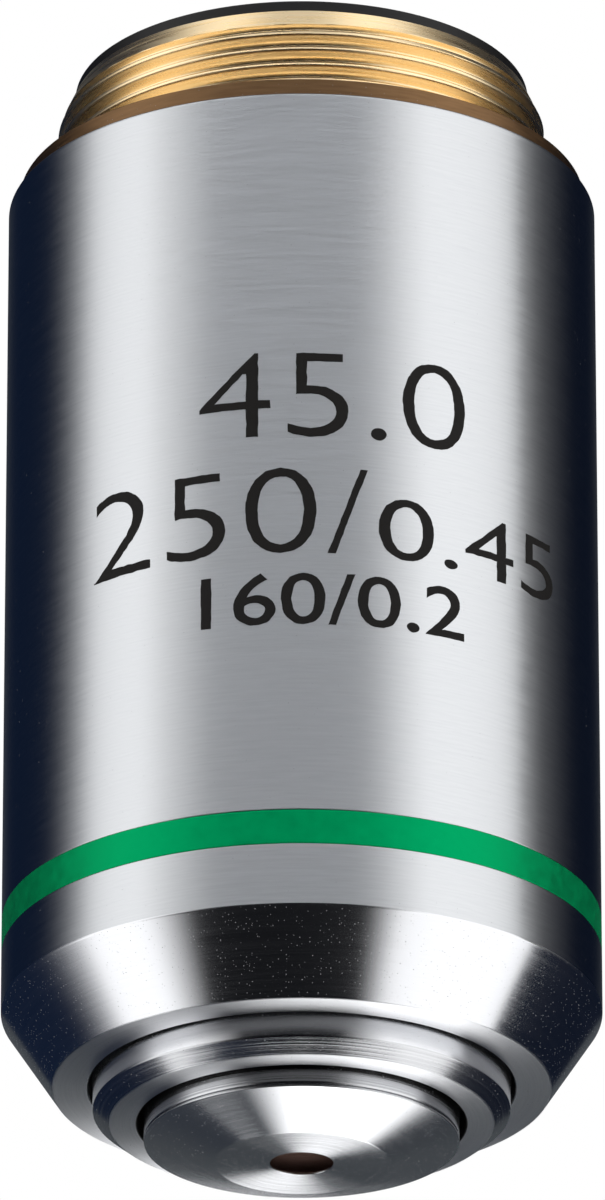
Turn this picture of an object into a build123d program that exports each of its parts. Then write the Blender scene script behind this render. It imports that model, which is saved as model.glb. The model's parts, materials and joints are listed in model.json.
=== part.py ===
from build123d import *

import os
from math import copysign, sqrt

# Microscope objective with a spring-loaded nose. Millimetres; Z is the optical axis, thread up.
# The origin is the centre of the shoulder that seats on the microscope.

# Mounting thread and shoulder
thread_major_dia = 20.32
thread_length = 2.85
lead_in_height = 1.3
lead_in_depth = 0.6
flange_height = 0.8
flange_step = 0.45
thread_wall = 1.1

# Outer barrel
barrel_length = 35.65
barrel_wall = 1.4
barrel_edge = 0.12
cone_height = 3.2
end_face_width = 1.43
end_wall = 4.2
nose_gap = 0.2

# Colour band
band_height = 1.45
band_depth = 0.15
band_above_cone = 2.6

# Body tube inside the barrel
guide_wall = 2.3
barrel_thread_length = 5.0
pilot_length = 4.0
body_relief = 0.4
body_end_gap = 0.5
guide_land = 6.0
guide_relief = 0.3

# Rear ring and spring
rear_ring_height = 0.5
rear_ring_inset = 0.1
rear_ring_wall = 1.75
skirt_length = 3.65
spanner_slot_width = 1.6
spanner_slot_depth = 0.9
spanner_slot_reach = 1.3
spring_length = 14.5
spring_turns = 4.5
wire_dia = 0.9
wire_sides = 6

# Lens tube
nose_travel = 2.5
rear_margin = 1.0
collar_step = 0.58
collar_height = 2.0
tube_wall = 1.45
spring_step = 0.45
nose_out = 0.95
nose_chamfer_height = 0.55
nose_chamfer_width = 0.7
nose_face_width = 1.1
counterbore_depth = 1.4
seat_lip_height = 0.6
seat_lip_width = 1.8

# Guide screw and its slot
guide_screw_dia = 2.0
guide_point_dia = 1.4
guide_screw_drop = 3.0
guide_slot_depth = 0.8
guide_screw_sink = 0.15
driver_slot_width = 0.4
driver_slot_depth = 0.5

# Front cell
front_gap = 0.28
front_out = 0.78
front_cone_height = 0.91
front_flat_dia = 7.07
front_hole_dia = 2.56
front_wall = 0.45
front_thread_step = 0.5
front_thread_length = 2.3
front_funnel_wall = 1.0
undercut_height = 0.07
undercut_depth = 0.12

# Lens seats
seat_width = 0.5
seat_height = 0.5
seat_flare = 0.4
lip_width = 0.25
lip_height = 0.3
hollow_rim = 0.5

# Lens stack
first_spacer_height = 0.8
second_spacer_height = 1.8
spacer_wall = 0.9
stop_height = 0.3
stop_width = 2.8
lock_ring_height = 2.0
lock_ring_inset = 0.5
lock_ring_wall = 1.6

# Fits
slide_clearance = 0.03
screw_clearance = 0.02
cell_clearance = 0.02
cement_gap = 0.01

# Each lens: thickness on the axis, then the height of its lower and upper edge above that face's middle
front_lens_wall = 0.7
front_lens = [(3.4, -0.27, -1.05)]
second_cell_wall = 2.4
second_lens = [(2.6, 0.0, -1.25)]
middle_cell_wall = 1.8
middle_doublet = [(1.2, 0.0, 1.7), (3.8, 1.7, -1.15)]
main_cell_wall = 1.6
main_doublet = [(4.0, 1.15, -1.75), (1.3, -1.75, 0.35)]
rear_cell_wall = 2.2
rear_doublet = [(2.4, 1.1, 0.7), (1.6, 0.7, 1.25)]

# Radii, from the thread inwards
thread_r = thread_major_dia / 2
mount_bore_r = thread_r - thread_wall
collar_r = mount_bore_r - slide_clearance
tube_r = collar_r - collar_step
spring_land_r = tube_r - spring_step
tube_bore_r = tube_r - tube_wall
cell_r = tube_bore_r - cell_clearance
guide_bore_r = tube_r + slide_clearance
nose_face_r = tube_r - nose_chamfer_width
counterbore_r = nose_face_r - nose_face_width
front_cell_r = counterbore_r - front_gap
front_thread_r = front_cell_r - front_thread_step

# Radii from the guide bore outwards
body_r = guide_bore_r + guide_wall
barrel_bore_r = body_r + screw_clearance
barrel_r = barrel_bore_r + barrel_wall
flange_r = barrel_r - flange_step
nose_bore_r = tube_r + nose_gap
barrel_end_r = nose_bore_r + end_face_width

# Heights from the shoulder upwards
mount_top = thread_length + lead_in_height
ring_top = mount_top + rear_ring_height
skirt_bottom = mount_top - skirt_length

# Heights of the sliding tube's rear end, set by the spring
collar_top = skirt_bottom - spring_length
collar_bottom = collar_top - collar_height
tube_top = skirt_bottom - nose_travel - rear_margin
lock_ring_top = tube_top - lock_ring_inset
lock_ring_bottom = lock_ring_top - lock_ring_height
guide_screw_z = collar_bottom - guide_screw_drop

# Heights from the flange down to the tip
barrel_top = -flange_height
cone_top = barrel_top - barrel_length
barrel_end = cone_top - cone_height
barrel_floor = barrel_end + end_wall
body_bottom = barrel_floor + body_end_gap
nose_edge = barrel_end - nose_out
nose_face = nose_edge - nose_chamfer_height
front_seat = nose_face + counterbore_depth
front_lip = nose_face - front_out
tip = front_lip - front_cone_height
front_thread_top = front_seat + front_thread_length
stack_seat = front_thread_top + seat_lip_height


def turned(outline):
    """Solid of revolution from the (radius, height) corners of its half section."""
    corners = [(radius, 0, height) for radius, height in outline]
    section = make_face(Polyline(*corners, close=True))
    return revolve(section, Axis.Z)


def ring(outer_r, inner_r, bottom, top):
    """Plain ring with a rectangular section."""
    return turned([(inner_r, bottom), (outer_r, bottom), (outer_r, top), (inner_r, top)])


def face_height(rise, edge_r, radius):
    """Height of a spherical lens face above its middle, where its edge is higher by rise."""
    if rise == 0:
        return 0
    ball_r = (edge_r**2 + rise**2) / (2 * rise)
    return ball_r - copysign(sqrt(ball_r**2 - radius**2), ball_r)


def lens_face(middle, rise, edge_r):
    """Section of one lens face, from the axis out to the end of its curve."""
    start = (0, 0, middle)
    end = (edge_r, 0, middle + rise)
    if rise == 0:
        return Line(start, end)
    half_r = edge_r / 2
    between = (half_r, 0, middle + face_height(rise, edge_r, half_r))
    return ThreePointArc(start, between, end)


def lens(radius, bottom, element, lower_rim=0, upper_rim=0):
    """One lens element, with the flat rims that its hollow outer faces keep."""
    thickness, lower_rise, upper_rise = element
    top = bottom + thickness
    lower_edge = bottom + lower_rise
    upper_edge = top + upper_rise
    lower_r = radius - lower_rim
    upper_r = radius - upper_rim
    edges = [lens_face(bottom, lower_rise, lower_r)]
    if lower_rim:
        edges.append(Line((lower_r, 0, lower_edge), (radius, 0, lower_edge)))
    edges.append(Line((radius, 0, lower_edge), (radius, 0, upper_edge)))
    if upper_rim:
        edges.append(Line((radius, 0, upper_edge), (upper_r, 0, upper_edge)))
    edges.append(lens_face(top, upper_rise, upper_r))
    edges.append(Line((0, 0, top), (0, 0, bottom)))
    return revolve(make_face(edges), Axis.Z)


def lens_group(elements, radius, bottom):
    """Cemented elements from the bottom up; only a hollow outer face has a rim."""
    solids = []
    for index, element in enumerate(elements):
        lower_rim = hollow_rim if index == 0 and element[1] < 0 else 0
        upper_rim = hollow_rim if element is elements[-1] and element[2] > 0 else 0
        solids.append(lens(radius, bottom, element, lower_rim, upper_rim))
        bottom += element[0]
    return solids


def contact_heights(elements, radius):
    """Heights above the lowest middle where the seat and the rolled lip meet the group."""
    lower_rise = elements[0][1]
    upper_rise = elements[-1][2]
    seat = lower_rise
    if lower_rise >= 0:
        seat = face_height(lower_rise, radius, radius - seat_width)
    lip = upper_rise
    if upper_rise <= 0:
        lip = face_height(upper_rise, radius, radius - lip_width)
    return seat, sum(element[0] for element in elements) + lip


def cell_height(elements, wall):
    """Height of the cell that a lens group needs."""
    seat, lip = contact_heights(elements, cell_r - wall)
    return seat_height + 2 * cement_gap + lip - seat + lip_height


def lens_cell(elements, wall, bottom):
    """Rolled-edge cell and the lens group cemented in it."""
    radius = cell_r - wall
    seat, lip = contact_heights(elements, radius)
    seat_z = bottom + seat_height
    middle = seat_z + cement_gap - seat
    lip_z = middle + lip + cement_gap
    top = lip_z + lip_height
    seat_r = radius - seat_width
    pocket_r = radius + cell_clearance
    cell = turned(
        [
            (seat_r + seat_flare, bottom),
            (cell_r, bottom),
            (cell_r, top),
            (radius - lip_width, top),
            (radius - lip_width, lip_z),
            (pocket_r, lip_z),
            (pocket_r, seat_z),
            (seat_r, seat_z),
        ]
    )
    return cell, lens_group(elements, radius, middle), top


def make_thread_mount():
    """Brass body: threaded neck, shoulder flange and the guide tube for the lens tube."""
    thread_end = barrel_top - barrel_thread_length
    pilot_top = body_bottom + pilot_length
    upper_land_end = collar_bottom - guide_land
    lower_land_start = body_bottom + guide_land
    body = turned(
        [
            (mount_bore_r, mount_top),
            (thread_r - lead_in_depth, mount_top),
            (thread_r, thread_length),
            (thread_r, 0),
            (flange_r, 0),
            (flange_r, barrel_top),
            (body_r, barrel_top),
            (body_r, thread_end),
            (body_r - body_relief, thread_end),
            (body_r - body_relief, pilot_top),
            (body_r, pilot_top),
            (body_r, body_bottom),
            (guide_bore_r, body_bottom),
            (guide_bore_r, lower_land_start),
            (guide_bore_r + guide_relief, lower_land_start),
            (guide_bore_r + guide_relief, upper_land_end),
            (guide_bore_r, upper_land_end),
            (guide_bore_r, collar_bottom),
            (mount_bore_r, collar_bottom),
        ]
    )
    return body - radial_rod(guide_screw_dia / 2 + screw_clearance, 0, body_r)


def make_outer_barrel():
    """Chromed shell with the band's groove and the turned cone end."""
    band_bottom = cone_top + band_above_cone
    band_top = band_bottom + band_height
    groove_r = barrel_r - band_depth
    return turned(
        [
            (barrel_bore_r, barrel_top),
            (barrel_r - barrel_edge, barrel_top),
            (barrel_r, barrel_top - barrel_edge),
            (barrel_r, band_top),
            (groove_r, band_top),
            (groove_r, band_bottom),
            (barrel_r, band_bottom),
            (barrel_r, cone_top),
            (barrel_end_r, barrel_end),
            (nose_bore_r, barrel_end),
            (nose_bore_r, barrel_floor),
            (barrel_bore_r, barrel_floor),
        ]
    )


def make_colour_band():
    """Enamel that fills the groove level with the barrel."""
    band_bottom = cone_top + band_above_cone
    return ring(barrel_r, barrel_r - band_depth, band_bottom, band_bottom + band_height)


def make_rear_ring():
    """Black ring screwed into the mount; its skirt is the spring's upper seat."""
    skirt_r = mount_bore_r - screw_clearance
    bore_r = skirt_r - rear_ring_wall
    rim_r = thread_r - lead_in_depth - rear_ring_inset
    body = turned(
        [
            (bore_r, ring_top),
            (rim_r, ring_top),
            (rim_r, mount_top),
            (skirt_r, mount_top),
            (skirt_r, skirt_bottom),
            (bore_r, skirt_bottom),
        ]
    )
    slot_length = 2 * (bore_r + spanner_slot_reach)
    slot = Pos(0, 0, ring_top) * Box(slot_length, spanner_slot_width, 2 * spanner_slot_depth)
    return body - slot


def make_return_spring():
    """Coil spring with both ends ground flat; the round wire is drawn with flats."""
    coil_r = (mount_bore_r + spring_land_r) / 2
    coil = Helix(spring_length / spring_turns, spring_length, coil_r)
    start = Plane(coil @ 0, z_dir=coil % 0)
    wire = sweep(start * RegularPolygon(wire_dia / 2, wire_sides), path=coil, is_frenet=True)
    ground = Pos(0, 0, spring_length / 2) * Cylinder(coil_r + wire_dia, spring_length)
    return Pos(0, 0, collar_top) * (wire & ground)


def radial_rod(radius, inner_end, outer_end):
    """Cylinder along +Y at the guide screw's height, between two distances from the axis."""
    rod = Cylinder(radius, outer_end - inner_end, align=(Align.CENTER, Align.CENTER, Align.MIN))
    return Pos(0, inner_end, guide_screw_z) * Rot(-90, 0, 0) * rod


def make_guide_screw():
    """Dog-point grub screw with a driver slot in its outer end."""
    slot_floor_r = tube_r - guide_slot_depth
    head_r = body_r - guide_screw_sink
    shank = radial_rod(guide_screw_dia / 2, guide_bore_r, head_r)
    point = radial_rod(guide_point_dia / 2, slot_floor_r + slide_clearance, guide_bore_r)
    driver_slot = Pos(0, head_r, guide_screw_z) * Box(
        2 * guide_screw_dia, 2 * driver_slot_depth, driver_slot_width
    )
    return shank + point - driver_slot


def make_lens_tube():
    """Sliding tube with its stop collar, spring land, guide slot and chamfered nose."""
    seat_lip_r = tube_bore_r - seat_lip_width
    thread_bore_r = front_thread_r + screw_clearance
    tube = turned(
        [
            (tube_bore_r, tube_top),
            (spring_land_r, tube_top),
            (spring_land_r, collar_top),
            (collar_r, collar_top),
            (collar_r, collar_bottom),
            (tube_r, collar_bottom),
            (tube_r, nose_edge),
            (nose_face_r, nose_face),
            (counterbore_r, nose_face),
            (counterbore_r, front_seat),
            (thread_bore_r, front_seat),
            (thread_bore_r, front_thread_top),
            (seat_lip_r, front_thread_top),
            (seat_lip_r, stack_seat),
            (tube_bore_r, stack_seat),
        ]
    )
    slot_width = guide_point_dia + 2 * slide_clearance
    slot_top = guide_screw_z + slot_width / 2
    slot_bottom = slot_top - nose_travel - slot_width
    slot_floor_r = tube_r - guide_slot_depth
    slot = Pos(0, slot_floor_r, slot_bottom) * Box(
        slot_width,
        2 * guide_slot_depth,
        slot_top - slot_bottom,
        align=(Align.CENTER, Align.MIN, Align.MIN),
    )
    return tube - slot


def make_front_cell():
    """Nose piece that carries the front lens, and that lens."""
    lens_r = front_flat_dia / 2 - front_lens_wall
    seat, lip = contact_heights(front_lens, lens_r)
    seat_z = tip + front_wall
    middle = seat_z + cement_gap - seat
    lip_z = middle + lip + cement_gap
    lip_r = lens_r - lip_width
    hole_r = front_hole_dia / 2
    pocket_r = lens_r + cell_clearance
    undercut_top = front_lip + 2 * undercut_height
    undercut_bottom = front_lip + undercut_height
    cell = turned(
        [
            (hole_r, tip),
            (front_flat_dia / 2, tip),
            (front_cell_r, front_lip),
            (front_cell_r, undercut_bottom),
            (front_cell_r - undercut_depth, undercut_bottom),
            (front_cell_r - undercut_depth, undercut_top),
            (front_cell_r, undercut_top),
            (front_cell_r, front_seat),
            (front_thread_r, front_seat),
            (front_thread_r, front_thread_top),
            (front_thread_r - front_funnel_wall, front_thread_top),
            (lip_r, lip_z + lip_height),
            (lip_r, lip_z),
            (pocket_r, lip_z),
            (pocket_r, seat_z),
            (hole_r, seat_z),
        ]
    )
    return cell, lens_group(front_lens, lens_r, middle)[0]


def make_lock_ring():
    """Threaded ring with spanner slots that holds the lens stack down."""
    bore_r = cell_r - lock_ring_wall
    body = ring(cell_r, bore_r, lock_ring_bottom, lock_ring_top)
    slot = Pos(0, 0, lock_ring_top) * Box(2 * cell_r, spanner_slot_width, 2 * spanner_slot_depth)
    return body - slot


def make_lens_stack():
    """Cells, lenses, spacers and stop from the tube's seat up to the lock ring."""
    spacer_r = cell_r - spacer_wall
    pieces = {}
    pieces["second_cell"], lenses, level = lens_cell(second_lens, second_cell_wall, stack_seat)
    pieces["second_lens"] = lenses[0]

    spacer_top = level + first_spacer_height
    pieces["first_spacer"] = ring(cell_r, spacer_r, level, spacer_top)

    pieces["middle_cell"], lenses, level = lens_cell(middle_doublet, middle_cell_wall, spacer_top)
    pieces["middle_flint"], pieces["middle_crown"] = lenses

    spacer_top = level + second_spacer_height
    pieces["second_spacer"] = ring(cell_r, spacer_r, level, spacer_top)

    pieces["main_cell"], lenses, level = lens_cell(main_doublet, main_cell_wall, spacer_top)
    pieces["main_crown"], pieces["main_flint"] = lenses

    stop_top = level + stop_height
    pieces["aperture_stop"] = ring(cell_r, cell_r - stop_width, level, stop_top)

    rear_bottom = lock_ring_bottom - cell_height(rear_doublet, rear_cell_wall)
    pieces["long_spacer"] = ring(cell_r, spacer_r, stop_top, rear_bottom)
    pieces["rear_cell"], lenses, level = lens_cell(rear_doublet, rear_cell_wall, rear_bottom)
    pieces["rear_crown"], pieces["rear_flint"] = lenses
    return pieces


front_cell_solid, front_lens_solid = make_front_cell()
nodes = {
    "thread_mount": make_thread_mount(),
    "outer_barrel": make_outer_barrel(),
    "colour_band": make_colour_band(),
    "rear_ring": make_rear_ring(),
    "guide_screw": make_guide_screw(),
    "return_spring": make_return_spring(),
    "lens_tube": make_lens_tube(),
    "front_cell": front_cell_solid,
    "front_lens": front_lens_solid,
    "lock_ring": make_lock_ring(),
    **make_lens_stack(),
}

os.makedirs("parts", exist_ok=True)
for name, solid in nodes.items():
    export_step(solid, f"parts/{name}.step")
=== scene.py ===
import json
from math import copysign, cos, pi, radians, sin, sqrt

import bmesh
import bpy
from mathutils import Matrix, Vector, noise


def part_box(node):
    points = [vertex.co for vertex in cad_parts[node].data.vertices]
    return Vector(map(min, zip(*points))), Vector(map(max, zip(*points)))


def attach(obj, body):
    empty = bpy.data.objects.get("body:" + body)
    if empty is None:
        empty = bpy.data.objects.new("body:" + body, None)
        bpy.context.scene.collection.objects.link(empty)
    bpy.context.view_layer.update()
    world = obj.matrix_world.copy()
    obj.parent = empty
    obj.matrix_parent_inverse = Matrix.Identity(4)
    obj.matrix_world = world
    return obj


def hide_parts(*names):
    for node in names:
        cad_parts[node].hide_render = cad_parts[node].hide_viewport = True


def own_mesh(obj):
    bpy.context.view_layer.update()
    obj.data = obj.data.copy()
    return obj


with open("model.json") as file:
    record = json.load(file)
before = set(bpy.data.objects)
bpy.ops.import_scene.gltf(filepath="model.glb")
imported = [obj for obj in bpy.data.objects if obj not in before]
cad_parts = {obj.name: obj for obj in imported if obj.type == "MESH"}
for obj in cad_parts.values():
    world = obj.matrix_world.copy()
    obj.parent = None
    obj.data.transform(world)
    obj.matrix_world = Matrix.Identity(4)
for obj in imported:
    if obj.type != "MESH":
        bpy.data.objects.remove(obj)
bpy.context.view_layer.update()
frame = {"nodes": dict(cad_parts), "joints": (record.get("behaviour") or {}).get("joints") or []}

# Microscope objective. Sections are written in millimetres from the shoulder; MM brings them to metres.
MM = 0.001


def span(node):
    """Outer radius, bottom and top of a turned CAD node, in millimetres."""
    low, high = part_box(node)
    return high.x / MM, low.z / MM, high.z / MM


# Sizes that the frame gives
barrel_r, barrel_end, barrel_top = span("outer_barrel")
band_r, band_bottom, band_top = span("colour_band")
flange_r, body_bottom, mount_top = span("thread_mount")
rim_r, skirt_bottom, ring_top = span("rear_ring")
collar_r, nose_face, tube_top = span("lens_tube")
front_cell_r, tip, front_thread_top = span("front_cell")
front_lens_r, front_lens_low, front_lens_top = span("front_lens")
collar_top, spring_top = span("return_spring")[1:]
guide_screw_z = (span("guide_screw")[1] + span("guide_screw")[2]) / 2
nose_travel = frame["joints"][0]["range_m"][1] / MM

# Threaded mount
thread_r = 10.16
thread_pitch = 25.4 / 36
thread_depth = 0.45
thread_length = 2.85
thread_run_out = 0.56
root_half = 0.02 * thread_pitch
groove_half = 0.46 * thread_pitch
groove_height = thread_run_out + 2.75 * thread_pitch
thread_rows = 220
run_out_fade = 0.04
lead_in_r = 9.56
mount_bore_r = 9.06
body_r = 10.78
body_relief_r = 10.38
body_thread_end = -5.8
pilot_top = -30.95
guide_bore_r = 8.48
guide_relief_r = 8.78
upper_land_end = -22.0
lower_land_start = -28.95
screw_hole_r = 1.02

# Outer barrel and its paint
barrel_bore_r = 10.8
barrel_edge = 0.12
barrel_floor = -35.45
cone_top = -36.45
barrel_end_r = 10.08
nose_bore_r = 8.65
groove_r = 12.05
paint_film = 0.008

# Rear ring
skirt_r = 9.04
ring_bore_r = 7.29
spanner_slot_width = 1.6
spanner_slot_depth = 0.9
spanner_slot_end_r = ring_bore_r + 1.3

# Lens tube
tube_r = 8.45
tube_bore_r = 7.0
spring_land_r = 8.0
collar_bottom = collar_top - 2.0
nose_edge = -40.6
nose_face_r = 7.75
counterbore_r = 6.65
front_seat = -39.75
thread_bore_r = 5.89
seat_lip_r = 5.2
stack_seat = -36.85
guide_slot_width = 1.46
guide_slot_floor_r = 7.65

# Front cell and its lens
front_lip = -41.93
front_flat_r = 3.535
front_hole_r = 1.28
hole_lip = 0.08
undercut_r = front_cell_r - 0.12
undercut_bottom = front_lip + 0.07
undercut_top = front_lip + 0.14
front_thread_r = 5.87
funnel_r = front_thread_r - 1.0
lens_seat = -42.39
lens_pocket_r = 2.855
lens_lip_r = 2.585
lens_hollow_r = 2.335
lens_hollow_rise = -0.27
lens_dome_rise = -1.05
lens_lip_height = 0.3
cement_gap = 0.01

# Return spring
wire_r = 0.45
wire_sides = 14
wire_steps = 72
spring_turns = 4.5

# How finely turned pieces are drawn
sides = 256
edge_break = 0.05
edge_share = 0.3
edge_steps = 4
edge_support = 1.4
corner_angle = radians(15)
smooth_angle = radians(30)
lens_steps = 20

# How round a cutting tool is, how far it reaches past a piece, and the gap that a weld closes
hole_sides = 64
overcut = 1.0
weld = 0.001


def linear(code):
    """Linear colour, with alpha, of an sRGB hex code."""
    shares = [int(code[place : place + 2], 16) / 255 for place in (1, 3, 5)]
    return [s / 12.92 if s <= 0.04045 else ((s + 0.055) / 1.055) ** 2.4 for s in shares] + [1.0]


def add_node(tree, kind, inputs=(), **settings):
    """Adds a node; an input takes a value, a socket or another node's first output."""
    node = tree.nodes.new(kind)
    for setting, value in settings.items():
        setattr(node, setting, value)
    for key, value in dict(inputs).items():
        if isinstance(value, bpy.types.Node):
            value = value.outputs[0]
        if isinstance(value, bpy.types.NodeSocket):
            tree.links.new(value, node.inputs[key])
        else:
            node.inputs[key].default_value = value
    return node


def new_material(name):
    """Empty node material and its tree."""
    material = bpy.data.materials.new(name)
    material.use_nodes = True
    material.node_tree.nodes.clear()
    return material, material.node_tree


def finish_material(material, tree, inputs):
    """Ends a material in one Principled shader."""
    shader = add_node(tree, "ShaderNodeBsdfPrincipled", inputs)
    add_node(tree, "ShaderNodeOutputMaterial", {"Surface": shader})
    return material


# Settled dust: one speck or none in each cell of this size, drawn coarse enough to show
dust_spacing = 0.105
dust_share = 0.2
dust_smallest = 0.5
dust_edge = 0.3
dust_colour = "#98989C"

# The part of a noise that counts, and how far it moves a metal's or a coat's roughness
noise_low = 0.3
noise_high = 0.7
metal_wear = 0.12
coat_wear = 0.15

# Bloom on glass, in millimetres, and how much it dulls the polish
haze_size = 0.6
haze_low = 0.55
haze_high = 0.8
haze_roughness = 0.05


def turning_lines(tree, position, line_width, line_length):
    """Noise drawn out round the axis, as a lathe tool or an abrasive cloth leaves it. Sizes in
    millimetres."""
    axes = add_node(tree, "ShaderNodeSeparateXYZ", {0: position})
    flat = add_node(tree, "ShaderNodeCombineXYZ", {0: axes.outputs[0], 1: axes.outputs[1]})
    radius = add_node(tree, "ShaderNodeVectorMath", {0: flat}, operation="LENGTH")
    along = add_node(tree, "ShaderNodeMath", {0: radius.outputs["Value"], 1: axes.outputs[2]})
    across = 1 / (line_width * MM)
    around = 1 / (line_length * MM)
    lines = add_node(tree, "ShaderNodeMath", {0: along, 1: across}, operation="MULTIPLY")
    sweep_x = add_node(tree, "ShaderNodeMath", {0: axes.outputs[0], 1: around}, operation="MULTIPLY")
    sweep_y = add_node(tree, "ShaderNodeMath", {0: axes.outputs[1], 1: around}, operation="MULTIPLY")
    drawn = add_node(tree, "ShaderNodeCombineXYZ", {0: sweep_x, 1: sweep_y, 2: lines})
    return add_node(tree, "ShaderNodeTexNoise", {"Vector": drawn, "Scale": 1.0, "Detail": 2.0})


def turned_metal(name, light, dark, roughness, stretch, line_width, line_length, line_depth, dust):
    """Metal turned or brushed round the axis. Its lines draw each highlight out across them, and
    settled dust shows as pale specks in its dark reflections. Widths and depth in millimetres."""
    material, tree = new_material(name)
    place = add_node(tree, "ShaderNodeTexCoord")
    position = place.outputs["Object"]
    lines = turning_lines(tree, position, line_width, line_length)
    colour = add_node(
        tree,
        "ShaderNodeMix",
        {0: lines, 6: linear(dark), 7: linear(light)},
        data_type="RGBA",
    )
    worn = add_node(
        tree,
        "ShaderNodeMapRange",
        {
            0: lines,
            1: noise_low,
            2: noise_high,
            3: roughness * (1 - metal_wear),
            4: roughness * (1 + metal_wear),
        },
    )
    specks = add_node(
        tree,
        "ShaderNodeTexVoronoi",
        {"Vector": position, "Scale": 1 / (dust_spacing * MM)},
    )
    chosen = add_node(tree, "ShaderNodeSeparateColor", {0: specks.outputs["Color"]})
    widths = add_node(
        tree,
        "ShaderNodeMapRange",
        {0: chosen.outputs[1], 3: dust_share * dust_smallest, 4: dust_share},
    )
    inside = add_node(
        tree, "ShaderNodeMath", {0: widths, 1: specks.outputs["Distance"]}, operation="SUBTRACT"
    )
    near = add_node(tree, "ShaderNodeMapRange", {0: inside, 2: dust_share * dust_edge})
    some = add_node(tree, "ShaderNodeMath", {0: chosen, 1: dust}, operation="LESS_THAN")
    speck = add_node(tree, "ShaderNodeMath", {0: near, 1: some}, operation="MULTIPLY")
    dusted = add_node(
        tree,
        "ShaderNodeMix",
        {0: speck, 6: colour.outputs[2], 7: linear(dust_colour)},
        data_type="RGBA",
    )
    bare = add_node(tree, "ShaderNodeMath", {0: 1.0, 1: speck}, operation="SUBTRACT")
    matte = add_node(tree, "ShaderNodeMath", {0: worn, 1: speck}, operation="MAXIMUM")
    relief = add_node(
        tree,
        "ShaderNodeBump",
        {"Height": lines, "Distance": line_depth * MM, "Strength": 1.0},
    )
    around = add_node(
        tree,
        "ShaderNodeVectorMath",
        {0: (0.0, 0.0, 1.0), 1: position},
        operation="CROSS_PRODUCT",
    )
    tangent = add_node(tree, "ShaderNodeVectorMath", {0: around}, operation="NORMALIZE")
    return finish_material(
        material,
        tree,
        {
            "Base Color": dusted.outputs[2],
            "Metallic": bare,
            "Roughness": matte,
            "Normal": relief,
            "Tangent": tangent,
            "Anisotropic": stretch,
            "Anisotropic Rotation": 0.25,
        },
    )


# Chromed brass. The side is brushed with fine cloth, the cone is polished, flat ends are faced off
# with a fine feed, the nose is turned finer still, and its edges keep the tool's lines.
satin_chrome = turned_metal(
    "satin_chrome",
    light="#D3D5D7",
    dark="#BBBDC0",
    roughness=0.32,
    stretch=1.0,
    line_width=0.09,
    line_length=1.6,
    line_depth=0.0004,
    dust=0.03,
)
polished_chrome = turned_metal(
    "polished_chrome",
    light="#DADBDE",
    dark="#CFD0D3",
    roughness=0.2,
    stretch=0.6,
    line_width=0.08,
    line_length=6.0,
    line_depth=0.0003,
    dust=0.45,
)
faced_chrome = turned_metal(
    "faced_chrome",
    light="#E8E9EB",
    dark="#D0D1D4",
    roughness=0.35,
    stretch=1.0,
    line_width=0.07,
    line_length=4.0,
    line_depth=0.001,
    dust=0.35,
)
nose_chrome = turned_metal(
    "nose_chrome",
    light="#D8D9DB",
    dark="#C4C5C8",
    roughness=0.2,
    stretch=1.0,
    line_width=0.07,
    line_length=5.0,
    line_depth=0.0006,
    dust=0.35,
)
ridged_chrome = turned_metal(
    "ridged_chrome",
    light="#D8D9DB",
    dark="#A4A5A8",
    roughness=0.22,
    stretch=0.7,
    line_width=0.12,
    line_length=30.0,
    line_depth=0.02,
    dust=0.2,
)

# Free-cutting brass left bare on the thread: pale warm yellow, a little browner in the tool lines
turned_brass = turned_metal(
    "turned_brass",
    light="#FAE8C4",
    dark="#E6C48C",
    roughness=0.28,
    stretch=0.5,
    line_width=0.1,
    line_length=3.0,
    line_depth=0.004,
    dust=0.1,
)

# The flange's brass has gone brown, and its colour is further darkened as painted shade for the shadow
# between the thread and the barrel: darker and duller than the thread
tarnished_and_shaded_brass = turned_metal(
    "tarnished_and_shaded_brass",
    light="#8A6B4C",
    dark="#5C452F",
    roughness=0.42,
    stretch=0.6,
    line_width=0.12,
    line_length=1.2,
    line_depth=0.004,
    dust=0.1,
)

# Brass chemically blackened so that no light scatters inside: dark, with brown showing through
blackened_brass = turned_metal(
    "blackened_brass",
    light="#2A2420",
    dark="#181513",
    roughness=0.5,
    stretch=0.4,
    line_width=0.12,
    line_length=8.0,
    line_depth=0.003,
    dust=0.05,
)

# Drawn music wire with a light oil film, and a plain steel grub screw
spring_steel = turned_metal(
    "spring_steel",
    light="#8E9094",
    dark="#6E7074",
    roughness=0.3,
    stretch=0.2,
    line_width=0.2,
    line_length=4.0,
    line_depth=0.001,
    dust=0.05,
)
screw_steel = turned_metal(
    "screw_steel",
    light="#A2A3A6",
    dark="#85868A",
    roughness=0.34,
    stretch=0.3,
    line_width=0.12,
    line_length=3.0,
    line_depth=0.002,
    dust=0.05,
)


def painted(name, light, dark, roughness, grain, grain_depth, specular, metallic=0.0):
    """Opaque coat with a fine mottle and a slightly uneven skin; grain and depth in millimetres."""
    material, tree = new_material(name)
    place = add_node(tree, "ShaderNodeTexCoord")
    mottle = add_node(
        tree,
        "ShaderNodeTexNoise",
        {"Vector": place.outputs["Object"], "Scale": 1 / (grain * MM), "Detail": 3.0},
    )
    colour = add_node(
        tree,
        "ShaderNodeMix",
        {0: mottle, 6: linear(dark), 7: linear(light)},
        data_type="RGBA",
    )
    skin = add_node(
        tree,
        "ShaderNodeMapRange",
        {
            0: mottle,
            1: noise_low,
            2: noise_high,
            3: roughness * (1 - coat_wear),
            4: roughness * (1 + coat_wear),
        },
    )
    relief = add_node(
        tree,
        "ShaderNodeBump",
        {"Height": mottle, "Distance": grain_depth * MM, "Strength": 1.0},
    )
    return finish_material(
        material,
        tree,
        {
            "Base Color": colour.outputs[2],
            "Metallic": metallic,
            "Roughness": skin,
            "Normal": relief,
            "Specular IOR Level": specular,
        },
    )


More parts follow.
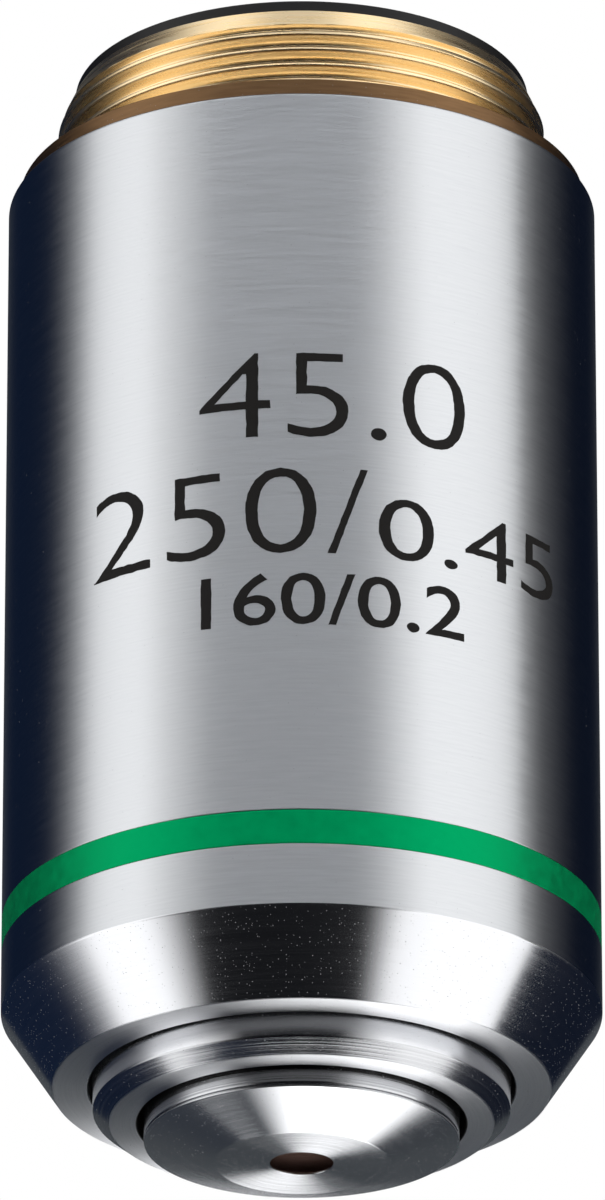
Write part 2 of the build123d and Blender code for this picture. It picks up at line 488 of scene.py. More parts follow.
# Stoved translucent enamel in a bright groove: saturated, and green even where it mirrors the lamps
green_enamel = painted(
    "green_enamel",
    light="#00A262",
    dark="#008E54",
    roughness=0.42,
    grain=0.5,
    grain_depth=0.0008,
    specular=0.0,
    metallic=0.75,
)

# Hard-anodised aluminium dyed black: deep grey with a fine etched grain
black_anodised = painted(
    "black_anodised",
    light="#161515",
    dark="#0D0C0C",
    roughness=0.42,
    grain=0.06,
    grain_depth=0.0012,
    specular=0.25,
)

# Printed ink, baked: flat black with a little brown in it
marking_ink = painted(
    "marking_ink",
    light="#1A1715",
    dark="#100E0D",
    roughness=0.6,
    grain=0.12,
    grain_depth=0.0012,
    specular=0.15,
)


def coated_glass(name, tint, film, index, clearness):
    """Polished optical glass with a magnesium fluoride film, which dims and tints its reflections. What
    isn't clear scatters light diffusely in the tint: a painted reflection standing in for the film's
    coloured glow."""
    material, tree = new_material(name)
    place = add_node(tree, "ShaderNodeTexCoord")
    haze = add_node(
        tree,
        "ShaderNodeTexNoise",
        {"Vector": place.outputs["Object"], "Scale": 1 / (haze_size * MM), "Detail": 2.0},
    )
    film_tint = add_node(
        tree,
        "ShaderNodeMix",
        {0: haze, 6: linear(film), 7: linear(tint)},
        data_type="RGBA",
    )
    clean = add_node(
        tree,
        "ShaderNodeMapRange",
        {0: haze, 1: haze_low, 2: haze_high, 3: 0.0, 4: haze_roughness},
    )
    return finish_material(
        material,
        tree,
        {
            "Base Color": linear(tint),
            "Specular Tint": film_tint.outputs[2],
            "Roughness": clean,
            "Transmission Weight": clearness,
            "IOR": index,
        },
    )


# Crown glass is clear; dense flint is a little yellow; the front lens has the strongest film
crown_glass = coated_glass("crown_glass", "#F4F8F6", "#8A6FA0", 1.52, 1.0)
flint_glass = coated_glass("flint_glass", "#F7F3E4", "#8A6FA0", 1.65, 1.0)
# The front lens's brown diffuse share is a painted reflection: flat colour in place of the brown-pink glow
# its film reflects
front_glass = coated_glass("front_glass", "#8A6C62", "#A08078", 1.6, 0.6)


def new_piece(name, mesh):
    """Object at the origin with a finished mesh."""
    piece = bpy.data.objects.new(name, mesh)
    bpy.context.scene.collection.objects.link(piece)
    return piece


def shade(mesh):
    """Smooth shading with true edges kept."""
    mesh.shade_smooth()
    mesh.set_sharp_from_angle(angle=smooth_angle)


def softened(corners, is_open):
    """Points of a section with each corner off the axis broken by a small round. A point on each side of
    the round holds that side's shading true. The two ends of an open section stay sharp."""
    points = []
    ends = (0, len(corners) - 1) if is_open else ()
    for index, (radius, height, finish) in enumerate(corners):
        here = Vector((radius, height))
        before = Vector(corners[index - 1][:2]) - here
        after = Vector(corners[(index + 1) % len(corners)][:2]) - here
        straight = before.angle(after) > pi - corner_angle
        if radius == 0 or straight or index in ends:
            points.append((radius, height, finish))
            continue
        reach = min(edge_break, before.length * edge_share, after.length * edge_share)
        back = before.normalized() * reach
        ahead = after.normalized() * reach
        points.append((*(here + back * edge_support), corners[index - 1][2]))
        for step in range(edge_steps + 1):
            share = step / edge_steps
            bend = here + back * (1 - share) ** 2 + ahead * share**2
            points.append((*bend, finish))
        points.append((*(here + ahead * edge_support), finish))
    return points


def turn(name, corners, is_open=False):
    """Turns a half section about the axis. Each corner has a radius, a height and the finish of the
    side that follows it; the last corner of an open section has no finish."""
    points = softened(corners, is_open)
    finishes = list(dict.fromkeys(p[2] for p in points if p[2] is not None))
    form = bmesh.new()
    rings = []
    for radius, height, _ in points:
        if radius == 0:
            rings.append([form.verts.new((0, 0, height * MM))] * sides)
            continue
        angles = [2 * pi * index / sides for index in range(sides)]
        rings.append(
            [form.verts.new((radius * MM * sin(a), -radius * MM * cos(a), height * MM)) for a in angles]
        )
    for index, (lower, upper) in enumerate(zip(rings, rings[1:] + rings[:1])):
        finish = points[index][2]
        if finish is None or lower[0] is lower[1] and upper[0] is upper[1]:
            continue
        for side in range(sides):
            following = (side + 1) % sides
            quad = [lower[side], lower[following], upper[following], upper[side]]
            face = form.faces.new(list(dict.fromkeys(quad)))
            face.material_index = finishes.index(finish)
    bmesh.ops.recalc_face_normals(form, faces=form.faces)
    mesh = bpy.data.meshes.new(name)
    form.to_mesh(mesh)
    form.free()
    for finish in finishes:
        mesh.materials.append(finish)
    shade(mesh)
    return new_piece(name, mesh)


def plain_mesh(piece):
    """Applies what a piece's modifiers make and leaves a plain mesh."""
    depsgraph = bpy.context.evaluated_depsgraph_get()
    mesh = bpy.data.meshes.new_from_object(piece.evaluated_get(depsgraph))
    piece.modifiers.clear()
    piece.data = mesh
    return piece


def cut(piece, tool):
    """Takes a tool's volume out of a piece."""
    modifier = piece.modifiers.new("cut", "BOOLEAN")
    modifier.operation = "DIFFERENCE"
    modifier.solver = "EXACT"
    modifier.object = tool
    plain_mesh(piece)
    bpy.data.objects.remove(tool)
    shade(piece.data)


def block(low, high):
    """Square cutting tool between two corners, in millimetres."""
    form = bmesh.new()
    bmesh.ops.create_cube(form, size=1)
    middle = (Vector(low) + Vector(high)) / 2
    size = Vector(high) - Vector(low)
    for vertex in form.verts:
        vertex.co = Vector([(m + s * c) * MM for m, s, c in zip(middle, size, vertex.co)])
    mesh = bpy.data.meshes.new("block")
    form.to_mesh(mesh)
    form.free()
    return new_piece("block", mesh)


def rod(radius, start, end, height):
    """Round cutting tool along +Y between two distances from the axis, in millimetres."""
    form = bmesh.new()
    bmesh.ops.create_cone(
        form,
        cap_ends=True,
        segments=hole_sides,
        radius1=radius * MM,
        radius2=radius * MM,
        depth=(end - start) * MM,
    )
    lie = Matrix.Rotation(-pi / 2, 4, "X")
    place = Matrix.Translation((0, (start + end) / 2 * MM, height * MM))
    form.transform(place @ lie)
    mesh = bpy.data.meshes.new("rod")
    form.to_mesh(mesh)
    form.free()
    return new_piece("rod", mesh)


def grow(name, tree, values):
    """Runs a node tree with its named sizes and keeps the result as a plain mesh."""
    piece = new_piece(name, bpy.data.meshes.new(name))
    modifier = piece.modifiers.new(name, "NODES")
    modifier.node_group = tree
    for socket in tree.interface.items_tree:
        if socket.in_out == "INPUT":
            modifier[socket.identifier] = values[socket.name]
    return plain_mesh(piece)


def new_tree(name, inputs):
    """Geometry node tree with named inputs; returns it with its input node."""
    tree = bpy.data.node_groups.new(name, "GeometryNodeTree")
    for label, kind in inputs.items():
        tree.interface.new_socket(label, in_out="INPUT", socket_type=kind)
    tree.interface.new_socket("Geometry", in_out="OUTPUT", socket_type="NodeSocketGeometry")
    return tree, add_node(tree, "NodeGroupInput").outputs


def end_tree(tree, geometry, material):
    """Ends a tree in plain, smooth geometry with its material."""
    smooth = add_node(tree, "GeometryNodeSetShadeSmooth", {"Geometry": geometry})
    real = add_node(tree, "GeometryNodeRealizeInstances", {"Geometry": smooth})
    dressed = add_node(tree, "GeometryNodeSetMaterial", {"Geometry": real, "Material": material})
    add_node(tree, "NodeGroupOutput", {"Geometry": dressed})


def thread_tree():
    """Right-hand thread wrapped from a flat grid: each column is a direction, each row a height."""
    tree, given = new_tree(
        "thread",
        {
            "Columns": "NodeSocketInt",
            "Rows": "NodeSocketInt",
            "Top": "NodeSocketFloat",
            "Major Radius": "NodeSocketFloat",
            "Depth": "NodeSocketFloat",
            "Pitch": "NodeSocketFloat",
            "Groove Height": "NodeSocketFloat",
            "Root Half": "NodeSocketFloat",
            "Groove Half": "NodeSocketFloat",
            "Lead-in Start": "NodeSocketFloat",
            "Lead-in Radius": "NodeSocketFloat",
            "Run-out": "NodeSocketFloat",
            "Metal": "NodeSocketMaterial",
        },
    )
    grid = add_node(
        tree,
        "GeometryNodeMeshGrid",
        {"Size X": 1.0, "Size Y": 1.0, "Vertices X": given["Columns"], "Vertices Y": given["Rows"]},
    )
    place = add_node(tree, "ShaderNodeSeparateXYZ", {0: add_node(tree, "GeometryNodeInputPosition")})
    turns = add_node(tree, "ShaderNodeMath", {0: place.outputs[0], 1: 0.5})
    share = add_node(tree, "ShaderNodeMath", {0: place.outputs[1], 1: 0.5})
    height = add_node(tree, "ShaderNodeMath", {0: share, 1: given["Top"]}, operation="MULTIPLY")

    above = add_node(
        tree, "ShaderNodeMath", {0: height, 1: given["Groove Height"]}, operation="SUBTRACT"
    )
    pitches = add_node(tree, "ShaderNodeMath", {0: above, 1: given["Pitch"]}, operation="DIVIDE")
    phase = add_node(tree, "ShaderNodeMath", {0: pitches, 1: turns}, operation="SUBTRACT")
    aside = add_node(tree, "ShaderNodeMath", {0: phase, 1: 0.5}, operation="PINGPONG")
    flank = add_node(tree, "ShaderNodeMath", {0: aside, 1: given["Pitch"]}, operation="MULTIPLY")
    cut_share = add_node(
        tree,
        "ShaderNodeMapRange",
        {0: flank, 1: given["Root Half"], 2: given["Groove Half"], 3: 1.0, 4: 0.0},
        interpolation_type="SMOOTHSTEP",
    )
    nearest = add_node(tree, "ShaderNodeMath", {0: phase}, operation="ROUND")
    climbed = add_node(tree, "ShaderNodeMath", {0: nearest, 1: turns})
    climb = add_node(tree, "ShaderNodeMath", {0: climbed, 1: given["Pitch"]}, operation="MULTIPLY")
    centre = add_node(tree, "ShaderNodeMath", {0: climb, 1: given["Groove Height"]})
    past = add_node(
        tree, "ShaderNodeMath", {0: centre, 1: given["Run-out"]}, operation="SUBTRACT"
    )
    entry = add_node(tree, "ShaderNodeMath", {0: past, 1: given["Pitch"]}, operation="DIVIDE")
    fade = add_node(tree, "ShaderNodeMapRange", {0: entry, 1: -run_out_fade, 2: run_out_fade})
    depth = add_node(tree, "ShaderNodeMath", {0: given["Depth"], 1: fade}, operation="MULTIPLY")
    groove = add_node(tree, "ShaderNodeMath", {0: depth, 1: cut_share}, operation="MULTIPLY")
    cut_r = add_node(
        tree, "ShaderNodeMath", {0: given["Major Radius"], 1: groove}, operation="SUBTRACT"
    )
    lead_in = add_node(
        tree,
        "ShaderNodeMapRange",
        {
            0: height,
            1: given["Lead-in Start"],
            2: given["Top"],
            3: given["Major Radius"],
            4: given["Lead-in Radius"],
        },
    )
    radius = add_node(tree, "ShaderNodeMath", {0: cut_r, 1: lead_in}, operation="MINIMUM")

    angle = add_node(tree, "ShaderNodeMath", {0: turns, 1: 2 * pi}, operation="MULTIPLY")
    sine = add_node(tree, "ShaderNodeMath", {0: angle}, operation="SINE")
    cosine = add_node(tree, "ShaderNodeMath", {0: angle}, operation="COSINE")
    across = add_node(tree, "ShaderNodeMath", {0: radius, 1: sine}, operation="MULTIPLY")
    back = add_node(tree, "ShaderNodeMath", {0: radius, 1: cosine}, operation="MULTIPLY")
    front = add_node(tree, "ShaderNodeMath", {0: back, 1: -1.0}, operation="MULTIPLY")
    wrapped = add_node(tree, "ShaderNodeCombineXYZ", {0: across, 1: front, 2: height})
    moved = add_node(tree, "GeometryNodeSetPosition", {"Geometry": grid, "Position": wrapped})
    end_tree(tree, moved, given["Metal"])
    return tree


def spring_tree():
    """Coil of round wire that stands between two heights."""
    tree, given = new_tree(
        "coil",
        {
            "Turns": "NodeSocketFloat",
            "Coil Radius": "NodeSocketFloat",
            "Wire Radius": "NodeSocketFloat",
            "Rise": "NodeSocketFloat",
            "Start": "NodeSocketVector",
            "Metal": "NodeSocketMaterial",
        },
    )
    path = add_node(
        tree,
        "GeometryNodeCurveSpiral",
        {
            "Resolution": wire_steps,
            "Rotations": given["Turns"],
            "Start Radius": given["Coil Radius"],
            "End Radius": given["Coil Radius"],
            "Height": given["Rise"],
        },
    )
    section = add_node(
        tree,
        "GeometryNodeCurvePrimitiveCircle",
        {"Resolution": wire_sides, "Radius": given["Wire Radius"]},
    )
    wire = add_node(
        tree, "GeometryNodeCurveToMesh", {"Curve": path, "Profile Curve": section, "Fill Caps": True}
    )
    placed = add_node(
        tree, "GeometryNodeTransform", {"Geometry": wire, "Translation": given["Start"]}
    )
    end_tree(tree, placed, given["Metal"])
    return tree


def make_mount():
    """Brass body: the cut thread welded to the turned flange and guide tube."""
    thread = grow(
        "thread",
        thread_tree(),
        {
            "Columns": sides + 1,
            "Rows": thread_rows,
            "Top": mount_top * MM,
            "Major Radius": thread_r * MM,
            "Depth": thread_depth * MM,
            "Pitch": thread_pitch * MM,
            "Groove Height": groove_height * MM,
            "Root Half": root_half * MM,
            "Groove Half": groove_half * MM,
            "Lead-in Start": thread_length * MM,
            "Lead-in Radius": lead_in_r * MM,
            "Run-out": thread_run_out * MM,
            "Metal": turned_brass,
        },
    )
    mount = turn(
        "threaded_mount",
        [
            (thread_r, 0, tarnished_and_shaded_brass),
            (flange_r, 0, tarnished_and_shaded_brass),
            (flange_r, barrel_top, turned_brass),
            (body_r, barrel_top, turned_brass),
            (body_r, body_thread_end, turned_brass),
            (body_relief_r, body_thread_end, turned_brass),
            (body_relief_r, pilot_top, turned_brass),
            (body_r, pilot_top, turned_brass),
            (body_r, body_bottom, turned_brass),
            (guide_bore_r, body_bottom, turned_brass),
            (guide_bore_r, lower_land_start, turned_brass),
            (guide_relief_r, lower_land_start, turned_brass),
            (guide_relief_r, upper_land_end, turned_brass),
            (guide_bore_r, upper_land_end, turned_brass),
            (guide_bore_r, collar_bottom, turned_brass),
            (mount_bore_r, collar_bottom, turned_brass),
            (mount_bore_r, mount_top, turned_brass),
            (lead_in_r, mount_top, None),
        ],
        is_open=True,
    )
    form = bmesh.new()
    form.from_mesh(mount.data)
    form.from_mesh(thread.data)
    bmesh.ops.remove_doubles(form, verts=form.verts, dist=weld * MM)
    bmesh.ops.recalc_face_normals(form, faces=form.faces)
    form.to_mesh(mount.data)
    form.free()
    bpy.data.objects.remove(thread)
    cut(mount, rod(screw_hole_r, guide_bore_r - overcut, body_r + overcut, guide_screw_z))
    return mount


def make_barrel():
    """Chromed shell: brushed side, polished cone, faced end. It stands a film of ink inside the CAD size."""
    side_r = barrel_r - paint_film
    return turn(
        "barrel_shell",
        [
            (barrel_bore_r, barrel_top, ridged_chrome),
            (side_r - barrel_edge, barrel_top, polished_chrome),
            (side_r, barrel_top - barrel_edge, satin_chrome),
            (side_r, band_top, satin_chrome),
            (groove_r, band_top, satin_chrome),
            (groove_r, band_bottom, satin_chrome),
            (side_r, band_bottom, satin_chrome),
            (side_r, cone_top, polished_chrome),
            (barrel_end_r, barrel_end, faced_chrome),
            (nose_bore_r, barrel_end, ridged_chrome),
            (nose_bore_r, barrel_floor, ridged_chrome),
            (barrel_bore_r, barrel_floor, ridged_chrome),
        ],
    )


def make_band():
    """Enamel that fills the barrel's groove."""
    return turn(
        "enamel_band",
        [
            (groove_r, band_bottom, green_enamel),
            (band_r - paint_film, band_bottom, green_enamel),
            (band_r - paint_film, band_top, green_enamel),
            (groove_r, band_top, green_enamel),
        ],
    )


def make_rear_ring():
    """Black ring at the rear, with two slots for a pin spanner."""
    ring = turn(
        "spanner_ring",
        [
            (ring_bore_r, ring_top, black_anodised),
            (rim_r, ring_top, black_anodised),
            (rim_r, mount_top, black_anodised),
            (skirt_r, mount_top, black_anodised),
            (skirt_r, skirt_bottom, black_anodised),
            (ring_bore_r, skirt_bottom, black_anodised),
        ],
    )
    half_width = spanner_slot_width / 2
    slot = block(
        (-spanner_slot_end_r, -half_width, ring_top - spanner_slot_depth),
        (spanner_slot_end_r, half_width, ring_top + spanner_slot_depth),
    )
    cut(ring, slot)
    return ring


def make_lens_tube():
    """Sliding tube that carries every lens; its nose shows below the barrel."""
    tube = turn(
        "sliding_tube",
        [
            (tube_bore_r, tube_top, ridged_chrome),
            (spring_land_r, tube_top, ridged_chrome),
            (spring_land_r, collar_top, ridged_chrome),
            (collar_r, collar_top, ridged_chrome),
            (collar_r, collar_bottom, ridged_chrome),
            (tube_r, collar_bottom, polished_chrome),
            (tube_r, nose_edge, ridged_chrome),
            (nose_face_r, nose_face, faced_chrome),
            (counterbore_r, nose_face, blackened_brass),
            (counterbore_r, front_seat, blackened_brass),
            (thread_bore_r, front_seat, turned_brass),
            (thread_bore_r, front_thread_top, blackened_brass),
            (seat_lip_r, front_thread_top, blackened_brass),
            (seat_lip_r, stack_seat, blackened_brass),
            (tube_bore_r, stack_seat, blackened_brass),
        ],
    )
    half_width = guide_slot_width / 2
    slot = block(
        (-half_width, guide_slot_floor_r, guide_screw_z - half_width - nose_travel),
        (half_width, tube_r + overcut, guide_screw_z + half_width),
    )
    cut(tube, slot)
    return tube


def face_height(rise, edge_r, radius):
    """Height of a spherical face above its middle, where its edge is higher by rise."""
    ball_r = (edge_r**2 + rise**2) / (2 * rise)
    return ball_r - copysign(sqrt(ball_r**2 - radius**2), ball_r)


def make_front_cell():
    """Nose piece round the front lens: ridged rim, finely turned cone and a small flat."""
    lens_lip = front_lens_top + face_height(lens_dome_rise, front_lens_r, lens_lip_r) + cement_gap
    return turn(
        "nose_cell",
        [
            (front_hole_r, tip, nose_chrome),
            (front_flat_r, tip, nose_chrome),
            (front_cell_r, front_lip, ridged_chrome),
            (front_cell_r, undercut_bottom, ridged_chrome),
            (undercut_r, undercut_bottom, ridged_chrome),
            (undercut_r, undercut_top, ridged_chrome),
            (front_cell_r, undercut_top, ridged_chrome),
            (front_cell_r, front_seat, ridged_chrome),
            (front_thread_r, front_seat, turned_brass),
            (front_thread_r, front_thread_top, blackened_brass),
            (funnel_r, front_thread_top, blackened_brass),
            (lens_lip_r, lens_lip + lens_lip_height, blackened_brass),
            (lens_lip_r, lens_lip, blackened_brass),
            (lens_pocket_r, lens_lip, blackened_brass),
            (lens_pocket_r, lens_seat, blackened_brass),
            (lens_hollow_r, lens_seat, blackened_brass),
            (front_hole_r, tip + hole_lip, nose_chrome),
        ],
    )


def make_front_lens():
    """Thick front lens with a hollow face towards the specimen and a domed back."""
    hollow_middle = front_lens_low - lens_hollow_rise
    corners = []
    for step in range(lens_steps + 1):
        radius = lens_hollow_r * step / lens_steps
        height = hollow_middle + face_height(lens_hollow_rise, lens_hollow_r, radius)
        corners.append((radius, height, front_glass))
    corners.append((front_lens_r, front_lens_low, front_glass))
    for step in range(lens_steps, -1, -1):
        radius = front_lens_r * step / lens_steps
        height = front_lens_top + face_height(lens_dome_rise, front_lens_r, radius)
        corners.append((radius, height, front_glass))
    return turn("nose_lens", corners)


def make_spring():
    """Return spring behind the tube's collar."""
    return grow(
        "coil_spring",
        spring_tree(),
        {
            "Turns": spring_turns,
            "Coil Radius": (mount_bore_r + spring_land_r) / 2 * MM,
            "Wire Radius": wire_r * MM,
            "Rise": (spring_top - collar_top - 2 * wire_r) * MM,
            "Start": (0.0, 0.0, (collar_top + wire_r) * MM),
            "Metal": spring_steel,
        },
    )


# Marked figures: the text, its height, its width, its middle, its base line and how bold it is
figure_lines = (
    ("45.0", 3.75, 11.2, 0.0, -16.2, -0.012),
    ("250/", 3.75, 11.9, -4.65, -21.3, -0.012),
    ("0.45", 2.65, 8.9, 6.2, -21.3, -0.004),
    ("160/0.2", 2.2, 11.0, 0.0, -24.35, 0.006),
)
figure_turn = radians(6.5)
figure_grid = 0.22
figure_steps = 8
figure_thickness = 0.05
figure_weld = 0.00001
figure_ragged = 0.035
figure_seed = 1
figure_rags = 3.3
ink_below_size = 0.001
ink_root = 0.016


def flat_figures(text, height, width, boldness):
    """One line of figures as a thin flat mesh in millimetres, its base line on y = 0."""
    curve = bpy.data.curves.new("figures", "FONT")
    curve.body = text
    curve.align_x = "CENTER"
    curve.resolution_u = figure_steps
    curve.extrude = figure_thickness
    curve.offset = boldness
    letters = new_piece("figures", curve)
    depsgraph = bpy.context.evaluated_depsgraph_get()
    mesh = bpy.data.meshes.new_from_object(letters.evaluated_get(depsgraph))
    bpy.data.objects.remove(letters)
    form = bmesh.new()
    form.from_mesh(mesh)
    bmesh.ops.remove_doubles(form, verts=form.verts, dist=figure_weld)
    left = min(vertex.co.x for vertex in form.verts)
    right = max(vertex.co.x for vertex in form.verts)
    top = max(vertex.co.y for vertex in form.verts)
    for vertex in form.verts:
        vertex.co.x = (vertex.co.x - (left + right) / 2) * width / (right - left)
        vertex.co.y *= height / top
    for axis, reach in ((0, width / 2), (1, height)):
        normal = Vector((1 - axis, axis, 0))
        for step in range(-int(reach / figure_grid), int(reach / figure_grid) + 1):
            everything = form.verts[:] + form.edges[:] + form.faces[:]
            bmesh.ops.bisect_plane(
                form, geom=everything, plane_co=normal * step * figure_grid, plane_no=normal
            )
    return form


def make_figures():
    """Printed figures laid on the barrel as a film of ink with slightly ragged edges."""
    noise.seed_set(figure_seed)
    ink_r = barrel_r - ink_below_size
    under_r = barrel_r - ink_root
    whole = bmesh.new()
    for text, height, width, middle, base, boldness in figure_lines:
        form = flat_figures(text, height, width, boldness)
        for vertex in form.verts:
            spot = Vector((vertex.co.x + middle, vertex.co.y + base, 0))
            stray = noise.noise_vector(spot * figure_rags) * figure_ragged
            radius = ink_r if vertex.co.z > 0 else under_r
            angle = (spot.x + stray.x) / barrel_r + figure_turn
            vertex.co = Vector(
                (radius * MM * sin(angle), -radius * MM * cos(angle), (spot.y + stray.y) * MM)
            )
        line = bpy.data.meshes.new("line")
        form.to_mesh(line)
        form.free()
        whole.from_mesh(line)
    bmesh.ops.recalc_face_normals(whole, faces=whole.faces)
    mesh = bpy.data.meshes.new("marking_figures")
    whole.to_mesh(mesh)
    whole.free()
    mesh.materials.clear()
    mesh.materials.append(marking_ink)
    return new_piece("marking_figures", mesh)


# Pieces, each with the CAD node it stands for, its body and its slot
for piece, node, slot in (
    (make_mount(), "thread_mount", "turned_brass"),
    (make_barrel(), "outer_barrel", "satin_chrome"),
    (make_band(), "colour_band", "green_enamel"),
    (make_rear_ring(), "rear_ring", "black_anodised"),
):
    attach(piece, "barrel")
    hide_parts(node)

for piece, node, slot in (
    (make_lens_tube(), "lens_tube", "satin_chrome"),
    (make_front_cell(), "front_cell", "satin_chrome"),
    (make_front_lens(), "front_lens", "optical_glass"),
):
    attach(piece, "nose")
    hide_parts(node)

spring = make_spring()
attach(spring, "barrel")
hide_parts("return_spring")
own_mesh(spring)

figures = make_figures()
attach(figures, "barrel")

# CAD nodes that keep their own shape
for material, nodes in (
    (screw_steel, ["guide_screw"]),
    (black_anodised, ["lock_ring", "aperture_stop", "long_spacer"]),
    (
        blackened_brass,
        ["second_cell", "first_spacer", "middle_cell", "second_spacer", "main_cell", "rear_cell"],
    ),
    (crown_glass, ["second_lens", "middle_crown", "main_crown", "rear_crown"]),
    (flint_glass, ["middle_flint", "main_flint", "rear_flint"]),
):
    for node in nodes:
        mesh = frame["nodes"][node].data
        mesh.materials.clear()
        mesh.materials.append(material)

# Studio, in metres. Cards stand round the object on a ball; azimuth 0 faces the camera, 90 is right.
studio_centre = Vector((0, 0, -0.018))
near_cards = 1.0
middle_cards = 1.05
far_cards = 1.1
card_weld = 0.000001
lamp_white = "#FFFFFF"
ceiling_white = "#F6F8FC"
soft_light = 1.56
spill_light = soft_light * 0.18
sheet_light = 3.2
strip_light = 4.2
dim_ceiling_light = 0.4
ceiling_light = 0.85
felt_light = 1.0
surrounding_light = 0.55
floor_light = 1.18
floor_own_share = 0.7
floor_reach = 6.0
floor_height = -1.3


def direction(azimuth, elevation):
    """Unit vector from the object towards an azimuth and elevation in degrees."""
    turned, raised = radians(azimuth), radians(elevation)
    return Vector((sin(turned) * cos(raised), -cos(turned) * cos(raised), sin(raised)))


def card(name, edges, colour, strength, distance, falloff=(1.0, 1.0), metal_only=False):
    """Curved card on a ball round the object. Each of its edges, from the lowest up, has an elevation, the
    azimuths of the card's two ends there, the angles over which those ends thin out, and its level."""
    columns, rows = 64, 12
    form = bmesh.new()
    glow = form.verts.layers.float.new("glow")
    grid = []
    full = [(*edge, 0, 0, 1) if len(edge) == 3 else edge for edge in edges]
    for low, high in zip(full, full[1:]):
        for row in range(rows):
            share = row / (rows - 1)
            between = [a + (b - a) * share for a, b in zip(low, high)]
            elevation, left, right, left_fade, right_fade, level = between
            line = []
            for column in range(columns + 1):
                azimuth = left + (right - left) * column / columns
                spot = direction(azimuth, elevation) * distance
                vertex = form.verts.new(studio_centre + spot)
                thin_left = min(1.0, (azimuth - left) / left_fade) if left_fade else 1.0
                thin_right = min(1.0, (right - azimuth) / right_fade) if right_fade else 1.0
                vertex[glow] = level * thin_left ** falloff[0] * thin_right ** falloff[1]
                line.append(vertex)
            grid.append(line)
    for lower, upper in zip(grid, grid[1:]):
        for column in range(columns):
            form.faces.new([lower[column], lower[column + 1], upper[column + 1], upper[column]])
    bmesh.ops.remove_doubles(form, verts=form.verts, dist=card_weld)
    mesh = bpy.data.meshes.new(name)
    form.to_mesh(mesh)
    form.free()
    material, tree = new_material(name)
    level = add_node(tree, "ShaderNodeAttribute", attribute_name="glow")
    clear = add_node(tree, "ShaderNodeBsdfTransparent")
    light = add_node(tree, "ShaderNodeEmission", {"Color": linear(colour), "Strength": strength})
    thinned = add_node(
        tree, "ShaderNodeMixShader", {0: level.outputs["Fac"], 1: clear, 2: light}
    )
    add_node(tree, "ShaderNodeOutputMaterial", {"Surface": thinned})
    mesh.materials.append(material)
    screen = new_piece(name, mesh)
    screen.visible_camera = False
    screen.visible_shadow = False
    if metal_only:
        screen.visible_diffuse = False
        screen.visible_transmission = False


# Softboxes on both sides, the right one's spill, a white sheet low behind, a strip light overhead with a
# dim ceiling above it, and dark felt between them
card(
    "left_softbox",
    [
        (-66, -154, -92, 12, 14, 0.5),
        (-60, -154, -92, 12, 16, 0.8),
        (-53, -150, -86, 14, 20, 1),
        (-46, -122, -47, 31, 20, 1),
        (-14, -122, -46, 31, 20, 1),
        (0, -118, -33, 33, 28, 1),
        (82, -118, -33, 33, 28, 1),
    ],
    lamp_white,
    soft_light,
    near_cards,
    falloff=(3.5, 1.0),
)
card(
    "right_softbox",
    [
        (-78, 40, 150, 20, 4, 0.3),
        (-70, 56, 150, 16, 4, 0.9),
        (-60, 72, 150, 14, 4, 1),
        (-53, 70, 146, 14, 6, 1),
        (-46, 28, 126, 15, 8, 1),
        (-40, 28, 112, 15, 8, 1),
        (-34, 28, 102, 15, 0, 1),
        (-14, 28, 98, 15, 0, 1),
        (0, 20, 89.5, 28, 0, 1),
        (82, 20, 89.5, 28, 0, 1),
    ],
    lamp_white,
    soft_light,
    near_cards,
    falloff=(1.3, 1.0),
)
card(
    "right_spill",
    [(-6, 95, 124, 0, 28, 1), (0, 89.5, 126, 0, 34, 1), (82, 89.5, 126, 0, 34, 1)],
    lamp_white,
    spill_light,
    near_cards,
    falloff=(1.0, 1.6),
)
card(
    "low_sheet",
    [
        (-82, 120, 240, 10, 30, 0.08),
        (-77, 130, 230, 10, 12, 0.3),
        (-70, 134, 212, 16, 28, 0.8),
        (-62, 144, 201, 14, 24, 1),
        (-51, 151, 192, 9, 12, 1),
        (-42, 155, 186, 8, 6, 1),
        (-38, 161, 184, 8, 5, 1),
        (-34, 166, 183, 6, 4, 1),
        (-30, 171, 182, 5, 3, 1),
        (-26, 175, 181, 3, 2, 1),
    ],
    lamp_white,
    sheet_light,
    middle_cards,
    metal_only=True,
)
for name, edges, colour, strength in (
    ("overhead", [(31, -62, 62), (40, -62, 62)], ceiling_white, strip_light),
    ("dim_ceiling", [(40, -62, 62), (60, -62, 62)], ceiling_white, dim_ceiling_light),
    ("ceiling", [(60, -62, 62), (86, -62, 62)], ceiling_white, ceiling_light),
    ("front_felt", [(-88, -62, 62), (31, -62, 62)], "#121316", felt_light),
    ("left_felt", [(-88, -158, -62), (86, -158, -62)], "#121E34", felt_light),
    ("right_felt", [(-88, 62, 160), (86, 62, 160)], "#0E1626", felt_light),
    ("back_felt", [(-88, 160, 202), (86, 160, 202)], "#4C5054", felt_light),
):
    card(name, edges, colour, strength, far_cards, metal_only=True)


def seen_directly(tree):
    """1 for rays of the camera and for what metal and glass show, 0 for light on the object."""
    ray = add_node(tree, "ShaderNodeLightPath")
    sharp = add_node(
        tree,
        "ShaderNodeMath",
        {0: ray.outputs["Is Camera Ray"], 1: ray.outputs["Is Glossy Ray"]},
        operation="MAXIMUM",
    )
    return add_node(
        tree,
        "ShaderNodeMath",
        {0: sharp, 1: ray.outputs["Is Transmission Ray"]},
        operation="MAXIMUM",
    )


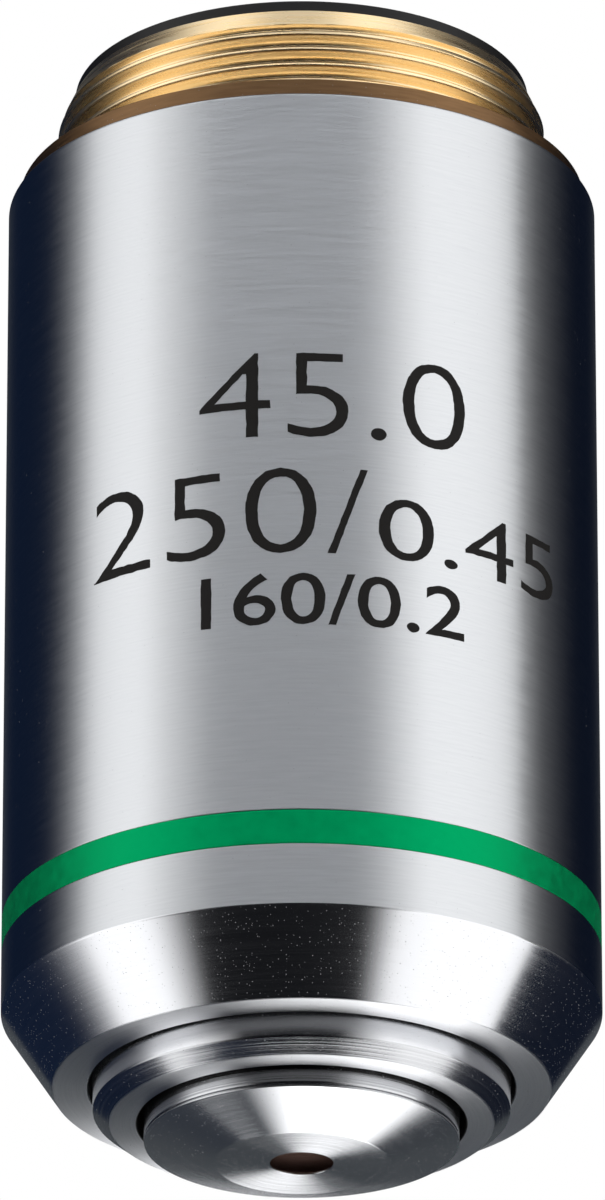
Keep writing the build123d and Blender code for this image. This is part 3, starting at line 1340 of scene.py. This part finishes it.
# Pale floor and white surroundings; what metal and glass mirror is the same white. Most of the floor's
# white is its own, and the rest takes the light and the object's shadow.
floor_material, floor_tree = new_material("pale_floor")
floor_paint = add_node(floor_tree, "ShaderNodeBsdfDiffuse", {"Color": linear("#F4F4F4")})
floor_white = add_node(
    floor_tree, "ShaderNodeEmission", {"Color": linear(lamp_white), "Strength": floor_light}
)
floor_seen = add_node(
    floor_tree,
    "ShaderNodeMath",
    {0: seen_directly(floor_tree), 1: floor_own_share},
    operation="MULTIPLY",
)
floor_mix = add_node(
    floor_tree, "ShaderNodeMixShader", {0: floor_seen, 1: floor_paint, 2: floor_white}
)
add_node(floor_tree, "ShaderNodeOutputMaterial", {"Surface": floor_mix})
floor_form = bmesh.new()
bmesh.ops.create_grid(floor_form, x_segments=1, y_segments=1, size=floor_reach)
for vertex in floor_form.verts:
    vertex.co.z = floor_height
floor_mesh = bpy.data.meshes.new("floor")
floor_form.to_mesh(floor_mesh)
floor_form.free()
floor_mesh.materials.append(floor_material)
new_piece("floor", floor_mesh)

world = bpy.data.worlds.new("studio")
world.use_nodes = True
world.node_tree.nodes.clear()
sky = world.node_tree
sky_light = add_node(
    sky, "ShaderNodeMapRange", {0: seen_directly(sky), 3: surrounding_light, 4: 1.0}
)
white = add_node(sky, "ShaderNodeBackground", {"Color": linear(lamp_white), "Strength": sky_light})
add_node(sky, "ShaderNodeOutputWorld", {"Surface": white})
bpy.context.scene.world = world

# Camera below the nose, looking up along the barrel
camera_elevation = -23.2736
camera_distance = 0.50696
camera_target = Vector((0.000035, 0, -0.018107))
camera = bpy.data.objects.new("camera", bpy.data.cameras.new("camera"))
bpy.context.scene.collection.objects.link(camera)
camera.data.sensor_width = 36
camera.data.lens = 370.04
camera.location = camera_target + direction(0, camera_elevation) * camera_distance
camera.rotation_euler = (camera_target - camera.location).to_track_quat("-Z", "Y").to_euler()
camera.data.clip_start = 0.01
bpy.context.scene.camera = camera

bpy.context.scene.view_settings.view_transform = "Standard"
